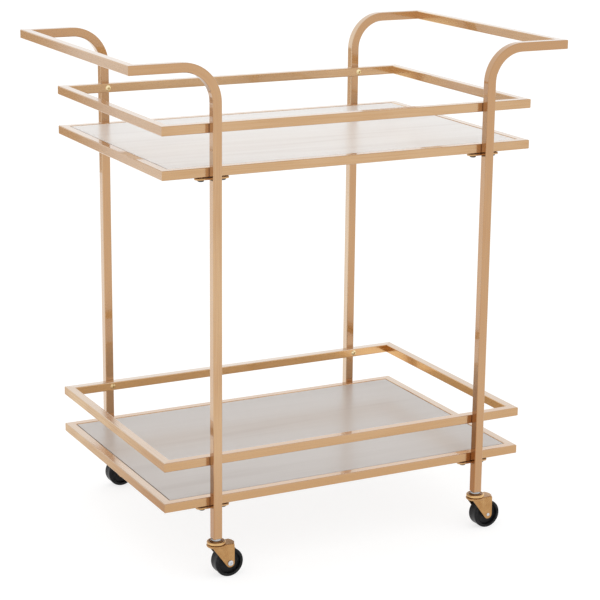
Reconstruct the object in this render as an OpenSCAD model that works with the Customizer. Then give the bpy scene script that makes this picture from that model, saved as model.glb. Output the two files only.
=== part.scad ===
// Two-tier bar cart in square metal tube, with inset wood-effect shelf panels,
// guard rails round both shelves, push handles at both ends and four swivel casters.
// Origin: on the floor under the centre of the cart. +Z is up, X runs along the
// length between the two handles, and -Y is the front.

/* [Overall] */
// Length over the two handle bars
handle_span = 824; // [800:2:900]
// Height of the tops of the handles above the floor
handle_top = 882; // [870:1:940]
// Outer length of the shelf and guard frames
frame_l = 700; // [640:2:760]
// Outer depth of the shelf and guard frames
frame_w = 472; // [400:2:520]

/* [Tube] */
// Outer width of the square tube
tube = 16; // [15:0.5:18]
// Wall thickness of the square tube
wall = 1.2; // [1:0.1:1.5]
// Outer corner radius of the square tube
corner_r = 1.6; // [1.2:0.1:2]
// Centreline radius of the bend at the top of each leg
bend_r = 60; // [40:1:70]
// Distance of each leg's centre from the middle of the cart, along the length
leg_x = 259; // [220:1:280]

/* [Shelves] */
// Top of the upper shelf frame above the floor
upper_shelf_top = 708; // [660:1:730]
// Top of the lower shelf frame above the floor
lower_shelf_top = 142; // [130:1:200]
// Height of each guard frame's top above its shelf frame's top
guard_rise = 72; // [60:1:90]
// Thickness of the shelf panels
panel_t = 12; // [9:1:12]
// How far a panel's face lies below its frame's top
panel_drop = 0.5; // [0.5:0.5:2]
// Gap between a panel and its frame, all round
panel_gap = 1.5; // [1:0.5:5]

/* [Leg brackets] */
// Length of the round-ended flat bar welded to each leg under each shelf frame
bracket_l = 61; // [55:1:80]
// Distance of each bracket screw from the leg's centre
bracket_screw_x = 19.5; // [17:0.5:22]
// Thickness of the flat bar
bracket_t = 2.5; // [1.5:0.5:4]

/* [Casters] */
// Height of a caster from the floor to the bottom of its leg
caster_h = 70; // [69:1:75]
// Wheel diameter
wheel_d = 51; // [48:1:52]
// Wheel width over the tread
wheel_w = 23; // [18:0.5:24]
// Distance of the axle behind the swivel axis
trail = 20; // [18:1:24]
// Axle diameter
axle_d = 6; // [5:0.5:7]

/* [Hidden] */
$fn = 48;
gold = [0.80, 0.62, 0.45];
zinc = [0.78, 0.79, 0.80];
board = [0.90, 0.88, 0.86];
black = [0.09, 0.09, 0.10];

// Corners of the cart, as signs along X and Y
front_left = [-1, -1];
front_right = [1, -1];
rear_left = [-1, 1];
rear_right = [1, 1];
corners = [front_left, front_right, rear_left, rear_right];

// Frame geometry
inner_r = 0.6;
leg_y = (frame_w + tube) / 2;
arm_z = handle_top - tube / 2;
bore = tube - 2 * wall;
cut = 1;

// Fasteners: a shank in its thread or hole runs with this radial clearance
clearance = 0.05;
loose_fit = 0.4;
screw_d = 5;
screw_head_d = 10.5;
screw_head_h = 3;
pan_head_d = 11;
pan_head_h = 3.4;
pan_edge_r = 1.6;
screw_hole_d = screw_d + loose_fit;
thread_d = screw_d + 2 * clearance;
nut_d = 7;
nut_flange_d = 9.5;
nut_flange_t = 2;
nut_l = 9;
guard_screw_l = tube + wall + 6;
recess_l = 4.6;
recess_w = 1.1;
recess_h = 1.4;

// Panel supports: tabs welded inside the long rails, screwed up into the board
tab_l = 20;
tab_reach = 18;
tab_t = 2;
tab_x = [-220, 0, 220];
tab_screw_inset = 11;
wood_screw_d = 4;
wood_screw_l = 9;
wood_screw_head_d = 8;
wood_screw_head_h = 2.4;
panel_chamfer = 0.6;

// Caster levels, from the floor up
wheel_r = wheel_d / 2;
axle_z = wheel_r;
crown_below_leg = 10.7;
plate_top = caster_h - crown_below_leg;
plate_t = 2.3;
crown_r = 17;
crown_edge_r = 2.2;
ball_d = 3;
ball_count = 16;
ball_ring_r = 8.6;
ball_gap = 0.1;
race_z = plate_top + ball_gap + ball_d;
race_t = 2;
lip_gap = 0.4;
lip_r = 2.8;
lip_ring_r = 13.7;
lip_z = plate_top + lip_gap + lip_r;
boss_r = 11.4;
boss_h = 3.9;
boss_chamfer = 0.8;
collar_d = 19;
collar_chamfer = 0.8;
stem_d = 8;
stem_l = 20;
stem_rivet_d = 14;
stem_rivet_t = 2.2;
stem_rivet_gap = 0.3;
insert_l = 24;

// Fork: two cheeks and a top plate bent from one sheet
cheek_t = 2;
fork_gap = wheel_w + 1.5;
fork_w = fork_gap + 2 * cheek_t;
fork_bend_r = 3;
fork_front_x = -10.8;
fork_front_cut = 3;
fork_nose_h = 2;
lobe_r = 7.8;
fork_rear_x = trail + lobe_r;
rear_bulge_r = 17.5;
axle_head_d = 9.7;
axle_head_h = 2.4;
axle_tip_h = 1.4;
axle_dimple_d = 3.4;

// Wheel section
rim_depth = 5.4;
rim_edge_r = 2;
rim_inner_edge_r = 0.8;
web_half = 6;
hub_r = 8;
hub_half = fork_gap / 2 - 0.3;
waist_r = 60;
waist_depth = 0.4;

// ---- shared shapes ----

// Square outline with round corners, centred on the origin
module rounded_square(size, r) {
    flat = size - 2 * r;
    square([size, flat], center = true);
    square([flat, size], center = true);
    for (x = [-1, 1], y = [-1, 1]) translate([x, y] * flat / 2) circle(r);
}

// Puts a shape drawn for the front right corner at any corner of the cart
module at_corner(c) {
    mirror([c.x < 0 ? 1 : 0, 0, 0]) mirror([0, c.y > 0 ? 1 : 0, 0]) children();
}

// Puts a caster part, drawn round the swivel axis, under its leg
module under_leg(c) {
    translate([c.x * leg_x, c.y * leg_y, 0]) children();
}

// Tube along X with both ends mitred at 45 degrees; its long side faces -Y
module mitred_tube(length) {
    long_half = length / 2 + cut;
    short_half = length / 2 - tube - cut;
    side = tube / 2 + cut;
    intersection() {
        rotate([0, 90, 0]) linear_extrude(length + 2 * cut, center = true) difference() {
            rounded_square(tube, corner_r);
            rounded_square(bore, inner_r);
        }
        linear_extrude(2 * tube, center = true) polygon([
            [-long_half, -side], [long_half, -side], [short_half, side], [-short_half, side]
        ]);
    }
}

// One side of a rectangular frame: angle 0 is the front and 180 the rear,
// reach is the distance from the cart's middle to the side's outer face
module frame_side(angle, length, reach, top) {
    rotate([0, 0, angle]) translate([0, tube / 2 - reach, top - tube / 2]) difference() {
        mitred_tube(length);
        children();
    }
}

// Screw along Z round its drawn head: shank below z = 0, cross recess in the head's top
module cross_screw(d, l, head_h) {
    difference() {
        union() {
            children();
            translate([0, 0, -l]) cylinder(h = l, d = d);
        }
        for (turn = [0, 90]) rotate([0, 0, turn])
            translate([0, 0, head_h]) cube([recess_l, recess_w, 2 * recess_h], center = true);
    }
}

// Screw with a domed head
module round_screw(d, l, head_d, head_h) {
    dome_r = (pow(head_d / 2, 2) + head_h * head_h) / (2 * head_h);
    cross_screw(d, l, head_h) intersection() {
        translate([0, 0, head_h - dome_r]) sphere(dome_r);
        cylinder(h = head_h, d = head_d);
    }
}

// Screw with a flat-topped head with a round edge
module pan_screw(d, l, head_d, head_h, edge_r) {
    cross_screw(d, l, head_h) rotate_extrude() {
        square([head_d / 2 - edge_r, head_h]);
        square([head_d / 2, head_h - edge_r]);
        translate([head_d / 2 - edge_r, head_h - edge_r]) circle(edge_r);
    }
}

// Disc with its two rims chamfered, from z = 0 up
module chamfered_disc(r, h, chamfer) {
    rotate_extrude() polygon([
        [0, 0], [r - chamfer, 0], [r, chamfer], [r, h - chamfer], [r - chamfer, h], [0, h]
    ]);
}

// ---- side frames: four legs and two handle bars ----

// Vertical leg, bend and level arm as one solid run of a square section
module leg_run(size, r, overrun) {
    translate([0, 0, caster_h - overrun])
        linear_extrude(arm_z - bend_r - caster_h + overrun) rounded_square(size, r);
    translate([bend_r, 0, arm_z - bend_r]) rotate([90, 0, 0]) rotate([0, 0, 90])
        rotate_extrude(angle = 90) translate([bend_r, 0]) rounded_square(size, r);
    translate([bend_r, 0, arm_z]) rotate([0, 90, 0])
        linear_extrude(handle_span / 2 - leg_x - bend_r + overrun) rounded_square(size, r);
}

module leg(c) {
    color(gold) at_corner(c) difference() {
        translate([leg_x, -leg_y, 0]) difference() {
            leg_run(tube, corner_r, 0);
            leg_run(bore, inner_r, cut);
        }
        translate([handle_span / 2, -leg_y - tube / 2, arm_z]) rotate([0, 0, 45])
            translate([0, -2 * tube, -tube]) cube([2 * tube, 4 * tube, 2 * tube]);
        for (shelf_top = [upper_shelf_top, lower_shelf_top])
            translate([leg_x, -frame_w / 2 + cut, shelf_top + guard_rise - tube / 2])
                rotate([90, 0, 0]) cylinder(h = wall + 2 * cut, d = thread_d);
    }
}

module handle_bar(angle) {
    color(gold) frame_side(angle, frame_w + 2 * tube, handle_span / 2, handle_top);
}

// ---- shelf frames, guard frames and panels ----

// Long shelf rail, with two rivet-nut holes in its underside at each leg
module shelf_long_rail(angle, top) {
    color(gold) frame_side(angle, frame_l, frame_w / 2, top)
        for (x = [-leg_x, leg_x], side = [-1, 1])
            translate([x + side * bracket_screw_x, 0, -tube / 2 - cut])
                cylinder(h = wall + 2 * cut, d = nut_d + 2 * clearance);
}

// Long guard rail, drilled right through at each leg
module guard_long_rail(angle, top) {
    color(gold) frame_side(angle, frame_l, frame_w / 2, top)
        for (x = [-leg_x, leg_x]) translate([x, 0, 0])
            rotate([90, 0, 0]) cylinder(h = tube + 2 * cut, d = screw_hole_d, center = true);
}

module short_rail(angle, top) {
    color(gold) frame_side(angle, frame_w, frame_l / 2, top);
}

// Places a panel fixing at every tab: x along the rail, and both long rails
module at_tabs() {
    for (x = tab_x, side = [0, 180])
        rotate([0, 0, side]) translate([x, tube - frame_w / 2, 0]) children();
}

module panel(frame_top) {
    l = frame_l - 2 * (tube + panel_gap);
    w = frame_w - 2 * (tube + panel_gap);
    face = frame_top - panel_drop;
    color(board) difference() {
        translate([-l / 2, -w / 2, face - panel_t]) cube([l, w, panel_t]);
        for (side = [-1, 1]) {
            translate([0, side * w / 2, face]) rotate([45, 0, 0])
                cube([l + 2 * cut, panel_chamfer, panel_chamfer], center = true);
            translate([side * l / 2, 0, face]) rotate([0, 45, 0])
                cube([panel_chamfer, w + 2 * cut, panel_chamfer], center = true);
        }
        at_tabs() translate([0, tab_screw_inset, face - panel_t - cut])
            cylinder(h = wood_screw_l + cut, d = wood_screw_d + 2 * clearance);
    }
}

module panel_tabs(frame_top) {
    color(gold) at_tabs() difference() {
        translate([-tab_l / 2, 0, frame_top - panel_drop - panel_t - tab_t])
            cube([tab_l, tab_reach, tab_t]);
        translate([0, tab_screw_inset, frame_top - panel_drop - panel_t - tab_t - cut])
            cylinder(h = tab_t + 2 * cut, d = wood_screw_d + loose_fit);
    }
}

module panel_screws(frame_top) {
    color(zinc) at_tabs()
        translate([0, tab_screw_inset, frame_top - panel_drop - panel_t - tab_t])
            rotate([180, 0, 0])
                round_screw(wood_screw_d, tab_t + wood_screw_l - cut, wood_screw_head_d,
                            wood_screw_head_h);
}

// ---- fixings between legs and frames ----

// Places a shape on both sides of every leg, under the middle of a long rail
module beside_legs(offset_x, z) {
    for (c = corners, side = [-1, 1])
        translate([c.x * leg_x + side * offset_x, c.y * (frame_w - tube) / 2, z]) children();
}

module leg_brackets(frame_top) {
    bracket_z = frame_top - tube - nut_flange_t - bracket_t;
    end_x = (bracket_l - tube) / 2;
    color(gold) difference() {
        union() {
            for (c = corners)
                translate([c.x * leg_x - end_x, c.y * (frame_w - tube) / 2 - tube / 2, bracket_z])
                    cube([2 * end_x, tube, bracket_t]);
            beside_legs(end_x, bracket_z) cylinder(h = bracket_t, d = tube);
        }
        beside_legs(bracket_screw_x, bracket_z - cut)
            cylinder(h = bracket_t + 2 * cut, d = screw_hole_d);
    }
}

module rivet_nuts(frame_top) {
    color(zinc) beside_legs(bracket_screw_x, frame_top - tube - nut_flange_t) difference() {
        union() {
            cylinder(h = nut_flange_t, d = nut_flange_d);
            cylinder(h = nut_l, d = nut_d);
        }
        translate([0, 0, -cut]) cylinder(h = nut_l + 2 * cut, d = thread_d);
    }
}

module bracket_screws(frame_top) {
    color(zinc) beside_legs(bracket_screw_x, frame_top - tube - nut_flange_t - bracket_t)
        rotate([180, 0, 0])
            pan_screw(screw_d, bracket_t + nut_l, pan_head_d, pan_head_h, pan_edge_r);
}

// Screws through the guard rails from inside, into the legs' inner walls
module guard_screws(frame_top) {
    color(gold) for (c = corners) at_corner(c)
        translate([leg_x, tube - frame_w / 2, frame_top + guard_rise - tube / 2])
            rotate([-90, 0, 0]) round_screw(screw_d, guard_screw_l, screw_head_d, screw_head_h);
}

// Threaded square plugs inside the legs' lower ends
module leg_inserts() {
    color(zinc) for (c = corners) under_leg(c) translate([0, 0, caster_h]) difference() {
        linear_extrude(insert_l) rounded_square(bore, corner_r);
        translate([0, 0, -cut]) cylinder(h = insert_l + 2 * cut, d = stem_d + 2 * clearance);
    }
}

// ---- casters ----

// Threaded stem, its collar under the leg, and the riveted end that carries the fork
module caster_stem(c) {
    rivet_z = plate_top - plate_t - stem_rivet_gap - stem_rivet_t;
    collar_z = race_z + boss_h;
    color(zinc) under_leg(c) {
        translate([0, 0, rivet_z]) cylinder(h = caster_h + stem_l - rivet_z, d = stem_d);
        translate([0, 0, rivet_z])
            chamfered_disc(stem_rivet_d / 2, stem_rivet_t, collar_chamfer);
        translate([0, 0, collar_z])
            chamfered_disc(collar_d / 2, caster_h - collar_z, collar_chamfer);
    }
}

// Upper ball race: a dished disc with a rolled lip and a raised middle
module caster_cup(c) {
    color(gold) under_leg(c) difference() {
        union() {
            translate([0, 0, lip_z]) rotate_extrude() translate([lip_ring_r, 0]) circle(lip_r);
            translate([0, 0, race_z]) cylinder(h = race_t, r = lip_ring_r);
            translate([0, 0, race_z]) chamfered_disc(boss_r, boss_h, boss_chamfer);
        }
        translate([0, 0, race_z - cut])
            cylinder(h = boss_h + 2 * cut, d = stem_d + 2 * clearance);
    }
}

// Rings of balls between each cup and its fork
module caster_balls() {
    color(zinc) for (c = corners, i = [0 : ball_count - 1]) under_leg(c)
        rotate([0, 0, i * 360 / ball_count]) translate([ball_ring_r, 0, race_z - ball_d / 2])
            sphere(d = ball_d);
}

// Side outline of a cheek in X and Z: a triangle with a blunt nose at its front, cut back to
// meet the top plate, and a round lobe at the axle
module cheek_outline() {
    nose_top = plate_top - fork_front_cut;
    nose_bottom = nose_top - fork_nose_h;
    to_front = [fork_front_x - trail, nose_bottom - axle_z];
    tangent = atan2(to_front.y, to_front.x) + acos(lobe_r / norm(to_front));
    polygon([
        [fork_front_x + fork_front_cut, plate_top],
        [fork_front_x, nose_top], [fork_front_x, nose_bottom],
        [trail + lobe_r * cos(tangent), axle_z + lobe_r * sin(tangent)],
        [trail, axle_z], [fork_rear_x, axle_z], [fork_rear_x, plate_top]
    ]);
    translate([trail, axle_z]) circle(lobe_r);
}

// End view of the fork in Y and Z: an arch with bent shoulders
module fork_arch() {
    half = fork_w / 2;
    difference() {
        union() {
            translate([-half, 0]) square([fork_w, plate_top - fork_bend_r]);
            translate([fork_bend_r - half, 0]) square([fork_w - 2 * fork_bend_r, plate_top]);
            for (side = [-1, 1])
                translate([side * (half - fork_bend_r), plate_top - fork_bend_r])
                    circle(fork_bend_r);
        }
        translate([-fork_gap / 2, -cut]) square([fork_gap, plate_top - plate_t + cut]);
    }
}

module caster_fork(c) {
    flat_half = fork_w / 2 - fork_bend_r;
    bulge_x = fork_rear_x - sqrt(rear_bulge_r * rear_bulge_r - flat_half * flat_half);
    plate_z = plate_top - plate_t;
    color(gold) under_leg(c) difference() {
        union() {
            intersection() {
                translate([fork_front_x, 0, 0]) rotate([90, 0, 90])
                    linear_extrude(fork_rear_x - fork_front_x) fork_arch();
                rotate([90, 0, 0]) linear_extrude(2 * fork_w, center = true) cheek_outline();
            }
            translate([0, 0, plate_z]) cylinder(h = plate_t, r = crown_r - crown_edge_r);
            translate([0, 0, plate_top - crown_edge_r]) rotate_extrude()
                translate([crown_r - crown_edge_r, 0]) circle(crown_edge_r);
            translate([0, 0, plate_z]) linear_extrude(plate_t) intersection() {
                translate([bulge_x, 0]) circle(rear_bulge_r, $fn = 96);
                translate([trail, -flat_half]) square([2 * lobe_r, 2 * flat_half]);
            }
        }
        translate([0, 0, plate_z - cut])
            cylinder(h = plate_t + 2 * cut, d = stem_d + 2 * clearance);
        translate([trail, 0, axle_z]) rotate([90, 0, 0])
            cylinder(h = 2 * fork_w, d = axle_d, center = true);
    }
}

// Axle rivet: a broad dimpled head on one side and a small set end on the other
module caster_axle(c, head_side) {
    color(zinc) under_leg(c) translate([trail, 0, axle_z]) rotate([90 * head_side, 0, 0])
        difference() {
            union() {
                translate([0, 0, -fork_w / 2 - axle_tip_h])
                    chamfered_disc(axle_d / 2, fork_w + axle_tip_h, axle_tip_h / 2);
                translate([0, 0, fork_w / 2])
                    chamfered_disc(axle_head_d / 2, axle_head_h, axle_head_h / 3);
            }
            translate([0, 0, fork_w / 2 + axle_head_h]) sphere(d = axle_dimple_d);
        }
}

// Half section of a wheel: rim, web and hub, with the radius along X
module wheel_section() {
    rim_in = wheel_r - rim_depth;
    edge = wheel_w / 2 - rim_edge_r;
    inner_edge = wheel_w / 2 - rim_inner_edge_r;
    bore_r = axle_d / 2 + clearance;
    difference() {
        union() {
            translate([rim_in + rim_inner_edge_r, -wheel_w / 2])
                square([rim_depth - rim_edge_r - rim_inner_edge_r, wheel_w]);
            translate([rim_in, -edge]) square([rim_depth, 2 * edge]);
            translate([rim_in, -inner_edge]) square([rim_depth - rim_edge_r, 2 * inner_edge]);
            for (side = [-1, 1]) {
                translate([wheel_r - rim_edge_r, side * edge]) circle(rim_edge_r);
                translate([rim_in + rim_inner_edge_r, side * inner_edge])
                    circle(rim_inner_edge_r);
            }
        }
        translate([wheel_r + waist_r - waist_depth, 0]) circle(waist_r, $fn = 192);
    }
    translate([bore_r, -web_half]) square([rim_in - bore_r, 2 * web_half]);
    translate([bore_r, -hub_half]) square([hub_r - bore_r, 2 * hub_half]);
}

module caster_wheel(c) {
    color(black) under_leg(c) translate([trail, 0, axle_z]) rotate([90, 0, 0])
        rotate_extrude($fn = 96) wheel_section();
}

// ---- the cart ----

leg(front_left);  // leg_front_left
leg(front_right);  // leg_front_right
leg(rear_left);  // leg_rear_left
leg(rear_right);  // leg_rear_right
handle_bar(-90);  // handle_bar_left
handle_bar(90);  // handle_bar_right

shelf_long_rail(0, upper_shelf_top);  // upper_shelf_rail_front
shelf_long_rail(180, upper_shelf_top);  // upper_shelf_rail_rear
short_rail(-90, upper_shelf_top);  // upper_shelf_rail_left
short_rail(90, upper_shelf_top);  // upper_shelf_rail_right
shelf_long_rail(0, lower_shelf_top);  // lower_shelf_rail_front
shelf_long_rail(180, lower_shelf_top);  // lower_shelf_rail_rear
short_rail(-90, lower_shelf_top);  // lower_shelf_rail_left
short_rail(90, lower_shelf_top);  // lower_shelf_rail_right

guard_long_rail(0, upper_shelf_top + guard_rise);  // upper_guard_rail_front
guard_long_rail(180, upper_shelf_top + guard_rise);  // upper_guard_rail_rear
short_rail(-90, upper_shelf_top + guard_rise);  // upper_guard_rail_left
short_rail(90, upper_shelf_top + guard_rise);  // upper_guard_rail_right
guard_long_rail(0, lower_shelf_top + guard_rise);  // lower_guard_rail_front
guard_long_rail(180, lower_shelf_top + guard_rise);  // lower_guard_rail_rear
short_rail(-90, lower_shelf_top + guard_rise);  // lower_guard_rail_left
short_rail(90, lower_shelf_top + guard_rise);  // lower_guard_rail_right

panel(upper_shelf_top);  // upper_panel
panel(lower_shelf_top);  // lower_panel
panel_tabs(upper_shelf_top);  // upper_panel_tabs
panel_tabs(lower_shelf_top);  // lower_panel_tabs
panel_screws(upper_shelf_top);  // upper_panel_screws
panel_screws(lower_shelf_top);  // lower_panel_screws
leg_brackets(upper_shelf_top);  // upper_leg_brackets
leg_brackets(lower_shelf_top);  // lower_leg_brackets
rivet_nuts(upper_shelf_top);  // upper_rivet_nuts
rivet_nuts(lower_shelf_top);  // lower_rivet_nuts
bracket_screws(upper_shelf_top);  // upper_bracket_screws
bracket_screws(lower_shelf_top);  // lower_bracket_screws
guard_screws(upper_shelf_top);  // upper_guard_screws
guard_screws(lower_shelf_top);  // lower_guard_screws
leg_inserts();
caster_balls();

caster_stem(front_left);  // caster_stem_front_left
caster_stem(front_right);  // caster_stem_front_right
caster_stem(rear_left);  // caster_stem_rear_left
caster_stem(rear_right);  // caster_stem_rear_right
caster_cup(front_left);  // caster_cup_front_left
caster_cup(front_right);  // caster_cup_front_right
caster_cup(rear_left);  // caster_cup_rear_left
caster_cup(rear_right);  // caster_cup_rear_right
caster_fork(front_left);  // caster_fork_front_left
caster_fork(front_right);  // caster_fork_front_right
caster_fork(rear_left);  // caster_fork_rear_left
caster_fork(rear_right);  // caster_fork_rear_right
caster_axle(front_left, 1);  // caster_axle_front_left
caster_axle(front_right, -1);  // caster_axle_front_right
caster_axle(rear_left, 1);  // caster_axle_rear_left
caster_axle(rear_right, -1);  // caster_axle_rear_right
caster_wheel(front_left);  // caster_wheel_front_left
caster_wheel(front_right);  // caster_wheel_front_right
caster_wheel(rear_left);  // caster_wheel_rear_left
caster_wheel(rear_right);  // caster_wheel_rear_right
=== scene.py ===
"""Looks of the bar cart: a pale studio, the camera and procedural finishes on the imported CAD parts.

Every visible piece is a CAD node. The script only gives the nodes their materials, so their
shapes and places stay as the CAD model has them. Units are metres, in the CAD model's frame.
"""
import math

import bpy
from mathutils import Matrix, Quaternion, Vector


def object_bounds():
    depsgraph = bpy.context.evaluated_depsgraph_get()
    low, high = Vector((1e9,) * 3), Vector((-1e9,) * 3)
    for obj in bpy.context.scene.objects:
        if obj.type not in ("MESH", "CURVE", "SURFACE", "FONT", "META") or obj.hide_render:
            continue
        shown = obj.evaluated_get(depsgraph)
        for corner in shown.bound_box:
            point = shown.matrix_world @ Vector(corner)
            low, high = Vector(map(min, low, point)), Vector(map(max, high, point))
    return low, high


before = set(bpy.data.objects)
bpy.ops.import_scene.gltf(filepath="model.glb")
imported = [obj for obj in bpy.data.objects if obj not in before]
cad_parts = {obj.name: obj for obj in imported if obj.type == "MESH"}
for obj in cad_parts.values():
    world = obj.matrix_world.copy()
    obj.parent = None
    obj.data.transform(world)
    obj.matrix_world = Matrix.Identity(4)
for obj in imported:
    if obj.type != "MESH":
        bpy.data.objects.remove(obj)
cad_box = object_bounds()
scene = bpy.context.scene

# ---- where things are, from the frame ----

FLOOR_Z = cad_box[0].z
CENTRE = (cad_box[0] + cad_box[1]) / 2
CORNERS = ("front_left", "front_right", "rear_left", "rear_right")

# ---- camera ----

VIEW_AZIMUTH = math.radians(-27.0)
VIEW_ELEVATION = math.radians(14.35)
VIEW_DISTANCE = 3.465
VIEW_ROLL = math.radians(0.6)
LENS_MM = 114.4
AIM_OFFSET = Vector((0.011, -0.022, -0.038))


def add_camera():
    """The camera at the cart's front left, a little above the upper shelf."""
    back = Vector((
        math.sin(VIEW_AZIMUTH) * math.cos(VIEW_ELEVATION),
        -math.cos(VIEW_AZIMUTH) * math.cos(VIEW_ELEVATION),
        math.sin(VIEW_ELEVATION),
    ))
    camera = bpy.data.objects.new("camera", bpy.data.cameras.new("camera"))
    scene.collection.objects.link(camera)
    camera.data.lens = LENS_MM
    camera.data.clip_start = 0.05
    camera.data.clip_end = 100
    camera.location = CENTRE + back * VIEW_DISTANCE
    aim = CENTRE + AIM_OFFSET - camera.location
    camera.rotation_mode = "QUATERNION"
    camera.rotation_quaternion = aim.to_track_quat("-Z", "Y") @ Quaternion((0, 0, 1), VIEW_ROLL)
    scene.camera = camera


# ---- node helpers ----

class Nodes:
    """A short way to write one material's or world's node tree."""

    def __init__(self, tree):
        self.tree = tree
        tree.nodes.clear()

    def add(self, kind, inputs=None, **settings):
        """A node of that kind; inputs gives socket values, or sockets to link from."""
        made = self.tree.nodes.new(kind)
        for name, value in settings.items():
            setattr(made, name, value)
        for key, value in (inputs or {}).items():
            if isinstance(value, bpy.types.NodeSocket):
                self.tree.links.new(value, made.inputs[key])
            else:
                made.inputs[key].default_value = value
        return made

    def math(self, operation, a, b=0.0, c=0.0, clamp=False):
        """The result of a Math node on up to three numbers or sockets."""
        return self.add("ShaderNodeMath", {0: a, 1: b, 2: c}, operation=operation,
                        use_clamp=clamp).outputs[0]

    def noise(self, coords, scale, detail=4.0, roughness=0.5, distortion=0.0):
        """A noise value from 0 to 1."""
        return self.add("ShaderNodeTexNoise", {
            "Vector": coords, "Scale": scale, "Detail": detail, "Roughness": roughness,
            "Distortion": distortion}).outputs[0]

    def ramp(self, value, *stops):
        """A colour ramp through (position, colour) stops."""
        made = self.add("ShaderNodeValToRGB", {"Fac": value})
        band = made.color_ramp
        while len(band.elements) < len(stops):
            band.elements.new(0.5)
        for element, (position, colour) in zip(band.elements, stops):
            element.position = position
            element.color = (*colour, 1.0)
        return made.outputs["Color"]

    def span(self, value, low, high, from_low=0.0, from_high=1.0):
        """value mapped from one range to another, and clamped."""
        return self.add("ShaderNodeMapRange", {
            "Value": value, "From Min": from_low, "From Max": from_high,
            "To Min": low, "To Max": high}).outputs[0]

    def mix(self, factor, a, b):
        """Two colours mixed."""
        a, b = (colour if isinstance(colour, bpy.types.NodeSocket) else (*colour, 1.0)
                for colour in (a, b))
        # Inputs 6 and 7 and output 2 are the node's colour sockets
        return self.add("ShaderNodeMix", {0: factor, 6: a, 7: b}, data_type="RGBA").outputs[2]

    def object_coords(self):
        """Position in the cart's own frame, in metres."""
        return self.add("ShaderNodeTexCoord").outputs["Object"]

    def scaled(self, coords, scale):
        """Coordinates multiplied along X, Y and Z."""
        return self.add("ShaderNodeMapping", {"Vector": coords, "Scale": scale}).outputs[0]

    def split(self, vector):
        """The X, Y and Z parts of a vector."""
        return self.add("ShaderNodeSeparateXYZ", {0: vector}).outputs

    def hypotenuse(self, a, b):
        """The length of the long side over two that meet at a right angle."""
        squares = self.math("ADD", self.math("MULTIPLY", a, a), self.math("MULTIPLY", b, b))
        return self.math("SQRT", squares)

    def bump(self, height, distance, strength):
        """A bumped normal, from a height of 0 to 1 that stands for distance metres."""
        return self.add("ShaderNodeBump", {
            "Height": height, "Distance": distance, "Strength": strength}).outputs[0]

    def finish(self, inputs):
        """The Principled shader with these inputs, wired to the output."""
        shader = self.add("ShaderNodeBsdfPrincipled", inputs)
        self.add("ShaderNodeOutputMaterial", {"Surface": shader.outputs[0]})


def new_material(name):
    """An empty node material, and its node tree's helper."""
    material = bpy.data.materials.new(name)
    material.use_nodes = True
    return material, Nodes(material.node_tree)


# ---- materials ----

FRAME_GOLD = (0.560, 0.345, 0.168)
# Deep gold: random tone, and painted shade on rails near the floor
FRAME_GOLD_DEEP = (0.480, 0.258, 0.090)
# Painted highlight: a paler gold for the rails' upward faces
FRAME_GOLD_TOP_HIGHLIGHT = (0.590, 0.385, 0.235)
# Painted highlight: paler far ends of the right-hand end rails' inner faces
FRAME_GOLD_END_HIGHLIGHT = (0.880, 0.640, 0.360)
LOW_GOLD = (0.620, 0.420, 0.220)
# Deep gold of the lower end rails: random tone, and painted shade towards the front
LOW_GOLD_DEEP = (0.380, 0.165, 0.030)
# Painted highlight: a still paler gold for the lower rails' upward faces
LOW_GOLD_TOP_HIGHLIGHT = (0.690, 0.560, 0.450)
# Painted light: a brighter, redder gold on the lower rails' inner faces
LOW_GOLD_INNER_LIT = (0.720, 0.400, 0.140)
# Painted shade in the crease where a leg stands against a rail
CREASE_PAINTED_SHADE = (0.220, 0.100, 0.040)
# Painted shade on the brackets' upward faces, in the gap under the rails
BRACKET_TOP_PAINTED_SHADE = (0.420, 0.210, 0.095)
LEG_GOLD = (0.565, 0.350, 0.172)
# Deep gold of the legs: random tone, and painted shade
LEG_GOLD_DEEP = (0.455, 0.235, 0.088)
# Painted reflection: paler left faces on the rear legs
LEG_GOLD_PAINTED_LIGHT = (0.660, 0.480, 0.310)
# Painted shade: deeper left faces on the front legs near the floor
LEG_GOLD_PAINTED_SHADE = (0.350, 0.140, 0.035)
CASTER_GOLD = (0.500, 0.285, 0.115)
CASTER_GOLD_DEEP = (0.400, 0.205, 0.070)
CUP_GOLD = (0.780, 0.510, 0.230)
CUP_SHADE = (0.200, 0.080, 0.022)
SCREW_GOLD = (0.960, 0.850, 0.570)
SCREW_GOLD_DEEP = (0.880, 0.710, 0.400)
# Painted shade in a guard screw's recess
RECESS_PAINTED_SHADE = (0.420, 0.270, 0.080)
ZINC = (0.700, 0.715, 0.740)
ZINC_DULL = (0.520, 0.535, 0.560)
COLLAR_GREY = (0.360, 0.355, 0.345)
BOARD_PALE = (0.794, 0.765, 0.737)
BOARD_MID = (0.761, 0.727, 0.698)
BOARD_STREAK = (0.670, 0.620, 0.585)
BOARD_EDGE = (0.340, 0.250, 0.190)
# The upper board's colours stay, and the lower board's are darkened by painted shade
UPPER_BOARD_UNSHADED = (1.0, 1.0, 1.0)
LOWER_BOARD_PAINTED_SHADE = (0.678, 0.657, 0.648)
DARK_STEEL = (0.060, 0.058, 0.058)
DARK_STEEL_WORN = (0.110, 0.106, 0.104)
# Painted shade: the rivet nuts in the dark gap between rail and bracket
RIVET_NUT_PAINTED_SHADE = (0.300, 0.165, 0.085)
RIVET_NUT_PAINTED_SHADE_DEEP = (0.200, 0.105, 0.052)
BLACK = (0.0065, 0.0065, 0.0072)
BLACK_SCUFFED = (0.024, 0.024, 0.025)

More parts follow.
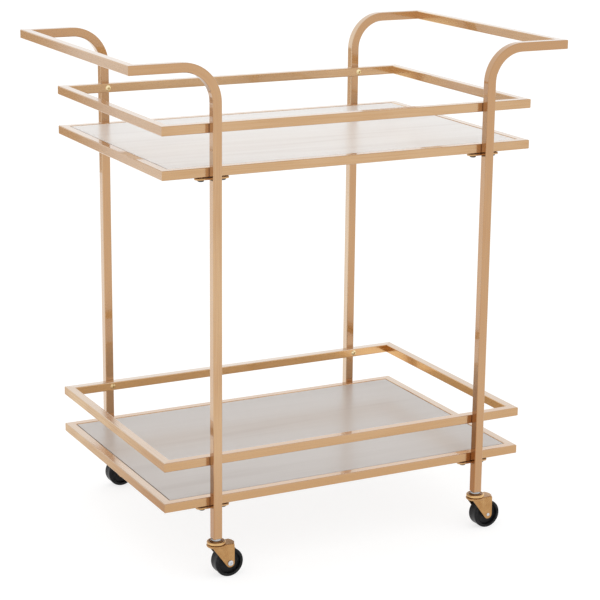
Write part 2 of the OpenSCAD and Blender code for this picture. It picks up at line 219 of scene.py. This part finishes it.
# Marks per metre: even clouds and grains, then along and twice across a brushed tube, and along
# X, Y and Z in a shelf board
GOLD_CLOUD_SCALE = 7.0
PLATED_CLOUD_SCALE = 70.0
ORANGE_PEEL_SCALE = 900.0
SCUFF_SCALE = 130.0
MOULD_GRAIN_SCALE = 1500.0
HAIRLINE_SCALE = (22.0, 2600.0, 2600.0)
STREAK_SCALE = (9.0, 420.0, 420.0)
WAVE_SCALE = (1.3, 8.0, 4.0)
BAND_SCALE = (2.0, 34.0, 15.0)
FIBRE_SCALE = (7.0, 300.0, 100.0)
PORE_SCALE = (45.0, 1100.0, 300.0)

# The legs' bends, in metres: centre along the cart, height of the centre, and radius
BEND_X = 0.319
BEND_Z = 0.814
BEND_R = 0.060
LEG_X = 0.259
LEG_Y = 0.244

# The guard screws' heights: this far above and below this height, in metres
SCREWS_MIDDLE_Z = 0.489
SCREWS_APART = 0.283

# The radii, in metres, between which the painted shade in a guard screw's recess and in a caster
# cup's dish fades out
RECESS_DARK_R = 0.0010
RECESS_PLAIN_R = 0.0028
DISH_R = 0.0126
LIP_R = 0.0150

# The lower rails: heights of the shelf's and the guard's, and how far back and forward they reach
LOW_RAIL_Z = 0.142
LOW_GUARD_Z = 0.200
RAIL_END_Y = 0.236

# Heights between which painted shade on the rails and on the front legs' left faces fades from deep
# to plain, and the distance over which a colour changes between the cart's two halves
RAILS_DEEP_BELOW = 0.13
DEEP_BELOW = 0.18
PLAIN_ABOVE = 0.30
BLEND = 0.1

# Where a leg's painted shade changes: from the front left leg to the others (x + y, in metres), and
# the heights between its foot and its straight run and between that run and its bend
LEG_NEAR = (-0.50, -0.15)
LEG_FOOT = (0.10, 0.24)
LEG_TOP = (0.66, 0.80)

# Heights that part the lower tier from the upper one
TIERS_PART = (0.3, 0.6)

# How far inward a face has to lie and look, in metres, to count fully as an inner face or not
INWARD_FULL = 0.18
INWARD_NONE = 0.06

# Where painted shade darkens a rail's outer face beside a leg: distances from the leg's centre
# along the rail, and from the middle of the cart across it
CREASE_FROM = 0.0082
CREASE_TO = 0.0106
CREASE_FACE = 0.2355


def straight_x(n, place):
    """Distance along, and two distances across, a tube that runs along X."""
    return n.split(place)


def straight_y(n, place):
    """The same for a tube that runs along Y."""
    x, y, z = n.split(place)
    return y, x, z


def along_leg(n, place):
    """The same for a leg: up its straight run, round its bend and out along its arm."""
    x, y, z = n.split(place)
    out = n.math("SUBTRACT", n.math("ABSOLUTE", x), BEND_X)
    rise = n.math("SUBTRACT", z, BEND_Z)
    within = n.math("MAXIMUM", n.math("MULTIPLY", out, -1.0), 0.0)
    above = n.math("MAXIMUM", rise, 0.0)
    turn = n.math("MULTIPLY", n.math("ARCTAN2", above, within), BEND_R)
    run = n.math("ADD", n.math("MINIMUM", rise, 0.0), n.math("MAXIMUM", out, 0.0))
    return n.math("ADD", run, turn), n.hypotenuse(within, above), y


def facing(n):
    """The way a face looks, along X, Y and Z."""
    return n.split(n.add("ShaderNodeTexCoord").outputs["Normal"])


def looks_left(n):
    """1 on the faces that look to the left, and 0 on all others."""
    return n.math("MAXIMUM", n.math("MULTIPLY", facing(n)[0], -1.0), 0.0)


def inward(n, place):
    """1 on the faces that look towards the middle of the cart, and 0 on all others: where the lower
    rails get painted light.
    """
    x, y, _ = n.split(place)
    looks_x, looks_y, _ = facing(n)
    outward = n.math("MULTIPLY_ADD", looks_x, x, n.math("MULTIPLY", looks_y, y))
    return n.span(outward, 1.0, 0.0, -INWARD_FULL, -INWARD_NONE)


def rear_left_painted_light(n, place):
    """Where the rear legs' left faces get a paler painted reflection: 1 on the right one, half on the
    left one.
    """
    x, y, _ = n.split(place)
    rear = n.math("MULTIPLY", n.span(y, 0.0, 1.0, 0.0, BLEND), n.span(x, 0.5, 1.0, -BLEND, BLEND))
    return n.math("MULTIPLY", looks_left(n), rear)


def front_left_painted_shade(n, place):
    """How deep painted shade makes the front legs' left faces near the floor: more on the right one.
    """
    x, y, z = n.split(place)
    front = n.math("MULTIPLY", n.span(y, 1.0, 0.0, -BLEND, 0.0), n.span(x, 0.5, 0.9, -BLEND, BLEND))
    low = n.span(z, 1.0, 0.0, DEEP_BELOW, PLAIN_ABOVE)
    return n.math("MULTIPLY", n.math("MULTIPLY", looks_left(n), front), low)


def far_right_painted_highlight(n, place):
    """Painted highlight: the right-hand end rails' inner faces are paler towards the back."""
    x, y, _ = n.split(place)
    far = n.math("MULTIPLY", n.span(x, 0.0, 1.0, 0.0, BLEND), n.span(y, 0.0, 1.0, 0.0, 2 * BLEND))
    return n.math("MULTIPLY", looks_left(n), far)


def crease(n, place):
    """1 in a thin line of painted shade down a rail's outer face where a leg stands against it."""
    x, y, _ = n.split(place)
    beside = n.math("ABSOLUTE", n.math("SUBTRACT", n.math("ABSOLUTE", x), LEG_X))
    outer = n.math("GREATER_THAN", n.math("ABSOLUTE", y), CREASE_FACE)
    return n.math("MULTIPLY", outer, n.span(beside, 0.75, 0.0, CREASE_FROM, CREASE_TO))


def brushed_gold(name, run_of, light=FRAME_GOLD, deep=FRAME_GOLD_DEEP, tone=None, painted_top=None,
                 side=None, painted_side_share=inward, painted_shade_where=None, painted_shade_colour=CREASE_PAINTED_SHADE,
                 thin_coat=False, dull_top=False, coat=1.0):
    """Lacquered champagne-gold plating, brushed along the tube.

    top colours the upward faces with a painted highlight, or on the brackets painted shade, and side
    paints light on the ones that painted_side_share picks. stain picks where painted shade darkens
    the metal to painted_shade_colour, and thin_coat thins the lacquer there. dull_top makes the
    upward faces bare and matt.
    """
    material, n = new_material(name)
    place = n.object_coords()
    run, across, beside = run_of(n, place)
    line = n.add("ShaderNodeCombineXYZ", {0: run, 1: across, 2: beside}).outputs[0]
    hairline = n.noise(n.scaled(line, HAIRLINE_SCALE), 1.0, detail=3.0, roughness=0.6)
    streak = n.noise(n.scaled(line, STREAK_SCALE), 1.0, detail=3.0, roughness=0.55)
    cloud = n.noise(place, GOLD_CLOUD_SCALE, detail=3.0)
    level = n.math("ADD", n.math("MULTIPLY", streak, 0.5), n.math("MULTIPLY", cloud, 0.5))
    level = n.math("MULTIPLY_ADD", hairline, 0.4, n.math("SUBTRACT", level, 0.2))
    share = n.span(level, 0.0, 1.0, 0.25, 0.60)
    # tone is painted shade: it pushes the colour towards the deep one
    if tone:
        share = n.math("MULTIPLY", share, tone(n, place))
    colour = n.mix(share, deep, light)
    even = n.span(level, 0.75, 1.0, 0.3, 0.7)
    # side is painted light on the faces that the share picks
    if side:
        colour = n.mix(n.math("MULTIPLY", painted_side_share(n, place), even), colour, side)
    # Painted shade: the crease beside a leg, or the front legs' left faces near the floor
    if painted_shade_where:
        painted_shade_share = painted_shade_where(n, place)
        colour = n.mix(painted_shade_share, colour, painted_shade_colour)
    up = n.math("MAXIMUM", facing(n)[2], 0.0)
    # Painted highlight on the upward faces, or on the brackets painted shade
    if painted_top:
        colour = n.mix(n.math("MULTIPLY", up, even), colour, painted_top)
    rough = n.span(level, 0.24, 0.16, 0.3, 0.7)
    if dull_top:
        rough = n.math("MULTIPLY_ADD", up, 0.5, rough)
    n.finish({
        "Base Color": colour,
        "Metallic": n.math("SUBTRACT", 1.0, up) if dull_top else 1.0,
        "Roughness": rough,
        "Coat Weight": n.span(painted_shade_share, coat, 0.1) if thin_coat else coat,
        "Coat Roughness": 0.03,
        "Coat IOR": 1.7,
        "Normal": n.bump(hairline, distance=0.00002, strength=0.5),
    })
    return material


def rail_painted_shade(n, place):
    """Painted shade: rails nearer the floor are a little deeper in colour."""
    return n.span(n.split(place)[2], 0.25, 1.0, RAILS_DEEP_BELOW, PLAIN_ABOVE)


def low_rail_painted_shade(n, place):
    """Painted shade: the lower end rails are deeper towards the front, the shelf's more than the
    guard's.
    """
    _, y, z = n.split(place)
    along = n.span(y, 0.0, 1.0, -RAIL_END_Y, RAIL_END_Y)
    return n.math("ADD", along, n.span(z, 0.0, 0.4, LOW_RAIL_Z, LOW_GUARD_Z), clamp=True)


def leg_painted_shade(n, place):
    """A slow change of painted shade: the front left leg's straight run is the palest."""
    x, y, z = n.split(place)
    near = n.span(n.math("ADD", x, y), 1.0, 0.35, *LEG_NEAR)
    low = n.span(z, 0.3, 1.0, *LEG_FOOT)
    high = n.span(z, 1.0, 0.5, *LEG_TOP)
    return n.math("MULTIPLY", near, n.math("MULTIPLY", low, high))


def plated(name, light, deep, rough, coat=0.0, shade=None):
    """Plated pressed steel: small changes of tone and gloss, and a faint orange peel."""
    material, n = new_material(name)
    place = n.object_coords()
    cloud = n.noise(place, PLATED_CLOUD_SCALE, detail=4.0)
    fine = n.noise(place, ORANGE_PEEL_SCALE, detail=3.0, roughness=0.6)
    colour = n.mix(n.span(cloud, 0.0, 1.0, 0.3, 0.7), deep, light)
    if shade:
        colour = shade(n, place, colour)
    n.finish({
        "Base Color": colour,
        "Metallic": 1.0,
        "Roughness": n.span(fine, rough - 0.05, rough + 0.08, 0.3, 0.7),
        "Coat Weight": coat,
        "Coat Roughness": 0.1,
        "Normal": n.bump(fine, distance=0.00003, strength=0.35),
    })
    return material


def stem_distance(n, place):
    """Distance from the nearest caster's stem axis."""
    x, y, _ = n.split(place)
    return n.hypotenuse(n.math("SUBTRACT", n.math("ABSOLUTE", x), LEG_X),
                        n.math("SUBTRACT", n.math("ABSOLUTE", y), LEG_Y))


def cup_shade(n, place, colour):
    """Painted shade in the dish inside a cup's lip."""
    share = n.span(stem_distance(n, place), 0.85, 0.0, DISH_R, LIP_R)
    return n.mix(share, colour, CUP_SHADE)


def guard_screw_shade(n, place, colour):
    """Painted shade: a guard screw's recess is darker than its rim, and the lower left screws are
    duller.
    """
    x, _, z = n.split(place)
    height = n.math("ABSOLUTE", n.math("SUBTRACT", z, SCREWS_MIDDLE_Z))
    away = n.hypotenuse(n.math("SUBTRACT", n.math("ABSOLUTE", x), LEG_X),
                        n.math("SUBTRACT", height, SCREWS_APART))
    lower_left_shade = n.math("MULTIPLY", n.span(x, 0.45, 0.0, -BLEND, BLEND), n.span(z, 1.0, 0.0, *TIERS_PART))
    colour = n.mix(lower_left_shade, colour, CASTER_GOLD)
    return n.mix(n.span(away, 0.80, 0.0, RECESS_DARK_R, RECESS_PLAIN_R), colour, RECESS_PAINTED_SHADE)


def shelf_board(name, board_painted_shade):
    """Semi-gloss white-grey wood-effect laminate, with its grain along the cart."""
    # Every colour is scaled by the board's painted shade factor
    pale, mid, dark = ([part * share for part, share in zip(colour, board_painted_shade)]
                       for colour in (BOARD_PALE, BOARD_MID, BOARD_STREAK))
    material, n = new_material(name)
    place = n.object_coords()
    waves = n.noise(n.scaled(place, WAVE_SCALE), 1.0, detail=3.0, roughness=0.5, distortion=0.7)
    bands = n.noise(n.scaled(place, BAND_SCALE), 1.0, detail=2.0, roughness=0.5, distortion=0.4)
    fibres = n.noise(n.scaled(place, FIBRE_SCALE), 1.0, detail=4.0, roughness=0.65)
    pores = n.noise(n.scaled(place, PORE_SCALE), 1.0, detail=2.0, roughness=0.6)
    level = n.math("MULTIPLY_ADD", bands, 0.5, n.math("MULTIPLY", waves, 0.5))
    tone = n.ramp(level, (0.30, dark), (0.45, mid), (0.62, pale))
    tone = n.mix(n.span(fibres, 0.0, 0.22, 0.50, 0.85), tone, dark)
    tone = n.mix(n.span(pores, 0.0, 0.20, 0.55, 0.80), tone, dark)
    flat = n.math("ABSOLUTE", facing(n)[2])
    tone = n.mix(n.span(flat, 1.0, 0.0, 0.2, 0.4), tone, BOARD_EDGE)
    n.finish({
        "Base Color": tone,
        "Roughness": n.span(fibres, 0.30, 0.38, 0.3, 0.7),
        "Coat Weight": 0.6,
        "Coat Roughness": 0.20,
        "Normal": n.bump(pores, distance=0.00001, strength=0.1),
    })
    return material


def wheel_black():
    """Moulded black plastic with a worn tread."""
    material, n = new_material("wheel_black")
    place = n.object_coords()
    fine = n.noise(place, MOULD_GRAIN_SCALE, detail=3.0)
    scuff = n.noise(place, SCUFF_SCALE, detail=5.0, roughness=0.7)
    n.finish({
        "Base Color": n.mix(n.span(scuff, 0.0, 1.0, 0.48, 0.75), BLACK, BLACK_SCUFFED),
        "Roughness": n.span(scuff, 0.28, 0.46, 0.3, 0.7),
        "Specular IOR Level": 0.17,
        "Normal": n.bump(fine, distance=0.00004, strength=0.3),
    })
    return material


# ---- studio ----

SKY_STRENGTH = 1.05
FLOOR_SIZE = 40
FLOOR_GREY = (0.36, 0.36, 0.36)
FLOOR_GLOW = 0.72
CARD_AZIMUTH = math.radians(21.0)
CARD_FROM_X = -0.350
CARD_DISTANCE = 3.3
CARD_WIDTH = 1.2
CARD_HEIGHT = 0.6
CARD_WHITE = (1.0, 0.99, 0.98)
CARD_DIM = (0.62, 0.42, 0.24)
CARD_DIMS_OVER = (0.45, 0.57)


def add_world():
    """An even white surround."""
    world = bpy.data.worlds.new("studio")
    world.use_nodes = True
    n = Nodes(world.node_tree)
    sky = n.add("ShaderNodeBackground", {"Color": (1.0, 1.0, 1.0, 1.0), "Strength": SKY_STRENGTH})
    n.add("ShaderNodeOutputWorld", {"Surface": sky.outputs[0]})
    scene.world = world
    scene.view_settings.view_transform = "Standard"


def add_floor():
    """A plain white floor, lit from below like a photographer's light table."""
    bpy.ops.mesh.primitive_plane_add(size=FLOOR_SIZE, location=(0, 0, FLOOR_Z))
    floor = bpy.context.object
    floor.name = "floor"
    material, n = new_material("floor")
    n.finish({
        "Base Color": (*FLOOR_GREY, 1.0),
        "Roughness": 0.9,
        "Specular IOR Level": 0.0,
        "Emission Color": (1.0, 1.0, 1.0, 1.0),
        "Emission Strength": FLOOR_GLOW,
    })
    floor.data.materials.append(material)


def add_card():
    """A low backdrop far off at the back left, dimmer on one half. Only reflections show it."""
    away = Vector((-math.sin(CARD_AZIMUTH), math.cos(CARD_AZIMUTH), 0.0))
    middle = Vector((CARD_FROM_X, 0.0, 0.0)) + away * CARD_DISTANCE
    bpy.ops.mesh.primitive_plane_add(size=1.0)
    card = bpy.context.object
    card.name = "card"
    card.scale = (CARD_WIDTH, CARD_HEIGHT, 1.0)
    card.rotation_euler = (math.radians(90), 0.0, CARD_AZIMUTH)
    card.location = (middle.x, middle.y, FLOOR_Z + CARD_HEIGHT / 2)
    card.visible_camera = False
    card.visible_diffuse = False
    material, n = new_material("card")
    across = n.split(n.add("ShaderNodeTexCoord").outputs["Generated"])[0]
    dim = n.span(across, 0.0, 1.0, *CARD_DIMS_OVER)
    light = n.add("ShaderNodeEmission", {"Color": n.mix(dim, CARD_WHITE, CARD_DIM)})
    n.add("ShaderNodeOutputMaterial", {"Surface": light.outputs[0]})
    card.data.materials.append(material)


def assign(material, *names):
    """Gives CAD nodes a material in all their slots."""
    for name in names:
        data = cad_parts[name].data
        data.materials.clear()
        data.materials.append(material)


add_camera()
add_world()
add_floor()
add_card()

gold_x = brushed_gold("frame_gold_x", straight_x, tone=rail_painted_shade, painted_shade_where=crease)
gold_y = brushed_gold("frame_gold_y", straight_y, tone=rail_painted_shade, side=FRAME_GOLD_END_HIGHLIGHT,
                      painted_side_share=far_right_painted_highlight)
low_gold_x = brushed_gold("low_gold_x", straight_x, tone=rail_painted_shade, painted_top=FRAME_GOLD_TOP_HIGHLIGHT,
                          side=LOW_GOLD_INNER_LIT, painted_shade_where=crease)
# The lower guard's rear rail: the same gold with a paler painted highlight on its upward faces
low_gold_rear_top_highlight = brushed_gold("low_gold_rear_top_highlight", straight_x, tone=rail_painted_shade, painted_top=LOW_GOLD_TOP_HIGHLIGHT,
                             side=LOW_GOLD_INNER_LIT, painted_shade_where=crease)
low_gold_y = brushed_gold("low_gold_y", straight_y, LOW_GOLD, LOW_GOLD_DEEP, tone=low_rail_painted_shade,
                          painted_top=LOW_GOLD_TOP_HIGHLIGHT, side=LOW_GOLD_INNER_LIT, coat=0.15)
# The brackets' upward faces carry painted shade
bracket_gold = brushed_gold("bracket_gold", straight_x, painted_top=BRACKET_TOP_PAINTED_SHADE, dull_top=True, coat=0.0)
# The legs: painted shade along them, painted light on the rear legs' left faces, painted shade on the
# front ones near the floor
gold_leg = brushed_gold("frame_gold_leg", along_leg, LEG_GOLD, LEG_GOLD_DEEP, tone=leg_painted_shade,
                        side=LEG_GOLD_PAINTED_LIGHT, painted_side_share=rear_left_painted_light,
                        painted_shade_where=front_left_painted_shade, painted_shade_colour=LEG_GOLD_PAINTED_SHADE, thin_coat=True)
caster_gold = plated("caster_gold", CASTER_GOLD, CASTER_GOLD_DEEP, 0.24, coat=0.3)
cup_gold = plated("cup_gold", CUP_GOLD, CASTER_GOLD, 0.20, coat=0.3, shade=cup_shade)
screw_gold = plated("screw_gold", SCREW_GOLD, SCREW_GOLD_DEEP, 0.20, shade=guard_screw_shade)
dark_steel = plated("dark_steel", DARK_STEEL_WORN, DARK_STEEL, 0.30)
# The rivet nuts are coloured dark as painted shade of the gap they sit in
rivet_nut_shade = plated("rivet_nuts_painted_shade", RIVET_NUT_PAINTED_SHADE, RIVET_NUT_PAINTED_SHADE_DEEP, 0.35)
zinc = plated("zinc_steel", ZINC, ZINC_DULL, 0.20)
collar_steel = plated("collar_steel", ZINC_DULL, COLLAR_GREY, 0.16)
# The lower board is the same laminate darkened by painted shade
upper_board = shelf_board("upper_board", UPPER_BOARD_UNSHADED)
lower_board_painted_shade = shelf_board("lower_board_painted_shade", LOWER_BOARD_PAINTED_SHADE)
black = wheel_black()

for tier, along_x, along_y in (("upper", gold_x, gold_y), ("lower", low_gold_x, low_gold_y)):
    for kind in ("shelf", "guard"):
        assign(along_x, f"{tier}_{kind}_rail_front", f"{tier}_{kind}_rail_rear")
        assign(along_y, f"{tier}_{kind}_rail_left", f"{tier}_{kind}_rail_right")
    assign(gold_x, f"{tier}_panel_tabs")
    assign(bracket_gold, f"{tier}_leg_brackets")
    assign(screw_gold, f"{tier}_guard_screws")
    assign(dark_steel, f"{tier}_bracket_screws")
    assign(rivet_nut_shade, f"{tier}_rivet_nuts")
    assign(zinc, f"{tier}_panel_screws")
assign(low_gold_rear_top_highlight, "lower_guard_rail_rear")
assign(gold_y, "handle_bar_left", "handle_bar_right")
assign(upper_board, "upper_panel")
assign(lower_board_painted_shade, "lower_panel")
for corner in CORNERS:
    assign(gold_leg, f"leg_{corner}")
    assign(cup_gold, f"caster_cup_{corner}")
    assign(caster_gold, f"caster_fork_{corner}")
    assign(collar_steel, f"caster_stem_{corner}")
    assign(zinc, f"caster_axle_{corner}")
    assign(black, f"caster_wheel_{corner}")
assign(zinc, "leg_inserts", "caster_balls")
